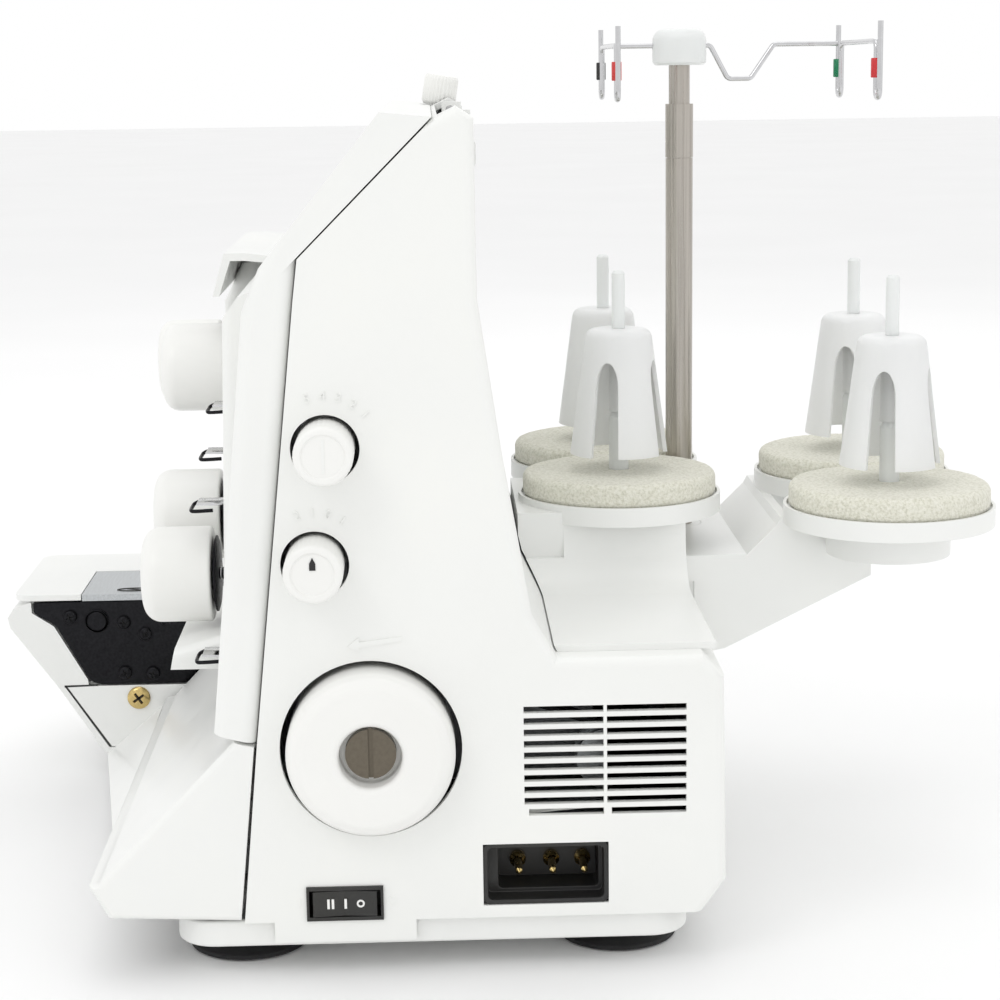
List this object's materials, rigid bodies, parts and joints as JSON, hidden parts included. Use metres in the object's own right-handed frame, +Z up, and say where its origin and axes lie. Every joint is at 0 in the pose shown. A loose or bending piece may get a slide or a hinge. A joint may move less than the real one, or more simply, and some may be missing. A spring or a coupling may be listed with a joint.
{
  "type": "serger overlock machine",
  "caption": "Household serger with looper cover, tension dials, handwheel, cone trays and a telescopic thread stand.",
  "frame": {"origin": "on the table under the middle of the bounding box", "axes": "+X to the handwheel side, -Y to the operator, +Z up"},
  "size_m": [0.33, 0.3954, 0.318],
  "materials": {
    "white_shell": "satin",
    "white_knob": "satin",
    "translucent": "translucent satin",
    "black_plastic": "matte",
    "black_metal": "satin",
    "bright_steel": "polished",
    "satin_steel": "brushed",
    "grey_steel": "satin",
    "cast_frame": "as cast",
    "foot_rubber": "matte",
    "belt_rubber": "matte",
    "foam": "open-cell foam",
    "brass_pins": "plated",
    "motor_shell": "satin",
    "sleeve_colour": "gloss"
  },
  "bodies": {
    "machine": {"base_tray": "white_shell", "right_side_cover": "white_shell", "rear_cover": "white_shell", "front_cover": "white_shell", "dial_panel": "white_shell", "bed_cover": "white_shell", "looper_housing": "white_shell", "thread_guide_plate": "white_shell", "spool_stand_base": "white_shell", "spool_stand_arm": "white_shell", "suction_feet": "foot_rubber", "chassis_frame": "cast_frame", "bearings_and_pins": "bright_steel", "tension_posts_and_guides": "bright_steel", "needle_plate": "grey_steel", "looper_frame_plate": "black_metal", "cover_screw": "brass_pins", "inlet_pins": "brass_pins", "motor": "motor_shell", "drive_belt": "belt_rubber", "switch_housing": "black_plastic", "power_inlet": "black_plastic", "spool_pins": "translucent", "foam_discs": "foam", "pole_lower": "satin_steel"},
    "drive_shaft": {"handwheel": "white_knob", "handwheel_screw": "grey_steel", "main_shaft": "grey_steel", "drive_pulley": "grey_steel"},
    "motor_spindle": {"motor_pulley": "grey_steel"},
    "stitch_length_knob": {"stitch_length_knob": "white_knob"},
    "differential_feed_knob": {"differential_feed_knob": "white_knob"},
    "pressure_knob": {"presser_pressure_knob": "white_knob"},
    "switch_rocker": {"switch_rocker": "black_plastic"},
    "needle_bar": {"needle_bar": "bright_steel", "needle_clamp": "bright_steel"},
    "presser_foot": {"presser_bar": "bright_steel", "presser_foot": "bright_steel"},
    "presser_lifter": {"presser_lifter": "grey_steel"},
    "cover_rod": {"cover_hinge_rod": "bright_steel"},
    "looper_cover": {"looper_cover": "white_shell"},
    "carrying_handle": {"carrying_handle": "white_shell"},
    "cloth_plate": {"cloth_plate": "white_shell"},
    "feed_dogs": {"feed_dogs": "grey_steel"},
    "upper_looper": {"upper_looper": "bright_steel"},
    "lower_looper": {"lower_looper": "bright_steel"},
    "upper_knife": {"upper_knife": "bright_steel"},
    "pole_middle": {"pole_middle": "satin_steel"},
    "pole_upper": {"pole_upper": "satin_steel"},
    "guide_head": {"guide_hub": "translucent", "thread_guide_wires": "bright_steel", "guide_sleeves": "sleeve_colour"},
    "tension_dial_1": {"tension_dial_1": "white_knob"},
    "cone_holder_1": {"cone_holder_1": "translucent"},
    "tension_dial_2": {"tension_dial_2": "white_knob"},
    "cone_holder_2": {"cone_holder_2": "translucent"},
    "tension_dial_3": {"tension_dial_3": "white_knob"},
    "cone_holder_3": {"cone_holder_3": "translucent"},
    "tension_dial_4": {"tension_dial_4": "white_knob"},
    "cone_holder_4": {"cone_holder_4": "translucent"}
  },
  "joints": [
    {"name": "handwheel_turn", "type": "hinge", "parent": "machine", "child": "drive_shaft", "pos_m": [0.15, -0.0336, 0.0805], "axis": [1, 0, 0], "continuous": true},
    {"name": "motor_turn", "type": "hinge", "parent": "machine", "child": "motor_spindle", "pos_m": [0.1, 0.048, 0.066], "axis": [1, 0, 0], "continuous": true},
    {"name": "stitch_length_turn", "type": "hinge", "parent": "machine", "child": "stitch_length_knob", "pos_m": [0.15, -0.0461, 0.1823], "axis": [1, 0, 0], "range_deg": [0, 270]},
    {"name": "differential_feed_turn", "type": "hinge", "parent": "machine", "child": "differential_feed_knob", "pos_m": [0.15, -0.0505, 0.1438], "axis": [1, 0, 0], "range_deg": [0, 270]},
    {"name": "pressure_turn", "type": "hinge", "parent": "machine", "child": "pressure_knob", "pos_m": [-0.108, -0.0056, 0.289], "axis": [0, 0.1564, 0.9877], "range_deg": [-360, 360]},
    {"name": "switch_rock", "type": "hinge", "parent": "machine", "child": "switch_rocker", "pos_m": [0.146, -0.0437, 0.0265], "axis": [0, 0, 1], "range_deg": [-10, 10]},
    {"name": "needle_stroke", "type": "slide", "parent": "machine", "child": "needle_bar", "axis": [0, 0, 1], "range_m": [-0.027, 0]},
    {"name": "presser_lift", "type": "slide", "parent": "machine", "child": "presser_foot", "axis": [0, 0, 1], "range_m": [0, 0.006]},
    {"name": "lifter_lever", "type": "hinge", "parent": "machine", "child": "presser_lifter", "pos_m": [-0.096, -0.024, 0.172], "axis": [1, 0, 0], "range_deg": [0, 30]},
    {"name": "cover_slide", "type": "slide", "parent": "machine", "child": "cover_rod", "axis": [1, 0, 0], "range_m": [0, 0.008]},
    {"name": "cover_open", "type": "hinge", "parent": "cover_rod", "child": "looper_cover", "pos_m": [0, -0.092, 0.024], "axis": [1, 0, 0], "range_deg": [0, 40]},
    {"name": "handle_lift", "type": "hinge", "parent": "machine", "child": "carrying_handle", "pos_m": [0.025, -0.001, 0.2865], "axis": [1, 0, 0], "range_deg": [0, 175]},
    {"name": "cloth_plate_swing", "type": "hinge", "parent": "machine", "child": "cloth_plate", "pos_m": [-0.1608, -0.0742, 0.079], "axis": [0, 0, 1], "range_deg": [-70, 0]},
    {"name": "feed_travel", "type": "slide", "parent": "machine", "child": "feed_dogs", "axis": [0, 1, 0], "range_m": [-0.0025, 0.0025]},
    {"name": "upper_looper_rock", "type": "hinge", "parent": "machine", "child": "upper_looper", "pos_m": [-0.108, -0.128, 0.052], "axis": [1, 0, 0], "range_deg": [-12, 12]},
    {"name": "lower_looper_rock", "type": "hinge", "parent": "machine", "child": "lower_looper", "pos_m": [-0.108, -0.118, 0.03], "axis": [1, 0, 0], "range_deg": [-12, 12]},
    {"name": "upper_knife_rock", "type": "hinge", "parent": "machine", "child": "upper_knife", "pos_m": [-0.092, -0.15, 0.062], "axis": [1, 0, 0], "range_deg": [-8, 8]},
    {"name": "pole_middle_slide", "type": "slide", "parent": "machine", "child": "pole_middle", "axis": [0, 0, 1], "range_m": [0, 0.13]},
    {"name": "pole_upper_slide", "type": "slide", "parent": "pole_middle", "child": "pole_upper", "axis": [0, 0, 1], "range_m": [0, 0.13]},
    {"name": "guide_swivel", "type": "hinge", "parent": "pole_upper", "child": "guide_head", "pos_m": [-0.0185, 0.0884, 0.31], "axis": [0, 0, 1], "range_deg": [-90, 90]},
    {"name": "tension_1_turn", "type": "hinge", "parent": "machine", "child": "tension_dial_1", "pos_m": [-0.092, -0.11, 0.181], "axis": [0, 1, 0], "range_deg": [-150, 150]},
    {"name": "tension_2_turn", "type": "hinge", "parent": "machine", "child": "tension_dial_2", "pos_m": [-0.05, -0.11, 0.184], "axis": [0, 1, 0], "range_deg": [-150, 150]},
    {"name": "tension_3_turn", "type": "hinge", "parent": "machine", "child": "tension_dial_3", "pos_m": [-0.005, -0.108, 0.131], "axis": [0, 1, 0], "range_deg": [-150, 150]},
    {"name": "tension_4_turn", "type": "hinge", "parent": "machine", "child": "tension_dial_4", "pos_m": [0.04, -0.108, 0.117], "axis": [0, 1, 0], "range_deg": [-150, 150]},
    {"name": "cone_1_lift", "type": "slide", "parent": "machine", "child": "cone_holder_1", "axis": [0, 0, 1], "range_m": [0, 0.075]},
    {"name": "cone_2_lift", "type": "slide", "parent": "machine", "child": "cone_holder_2", "axis": [0, 0, 1], "range_m": [0, 0.075]},
    {"name": "cone_3_lift", "type": "slide", "parent": "machine", "child": "cone_holder_3", "axis": [0, 0, 1], "range_m": [0, 0.075]},
    {"name": "cone_4_lift", "type": "slide", "parent": "machine", "child": "cone_holder_4", "axis": [0, 0, 1], "range_m": [0, 0.075]}
  ],
  "couplings": [
    {"joint": "motor_turn", "follows": "handwheel_turn", "ratio": 2.6667},
    {"joint": "presser_lift", "follows": "lifter_lever", "m_per_rad": 0.011459}
  ]
}
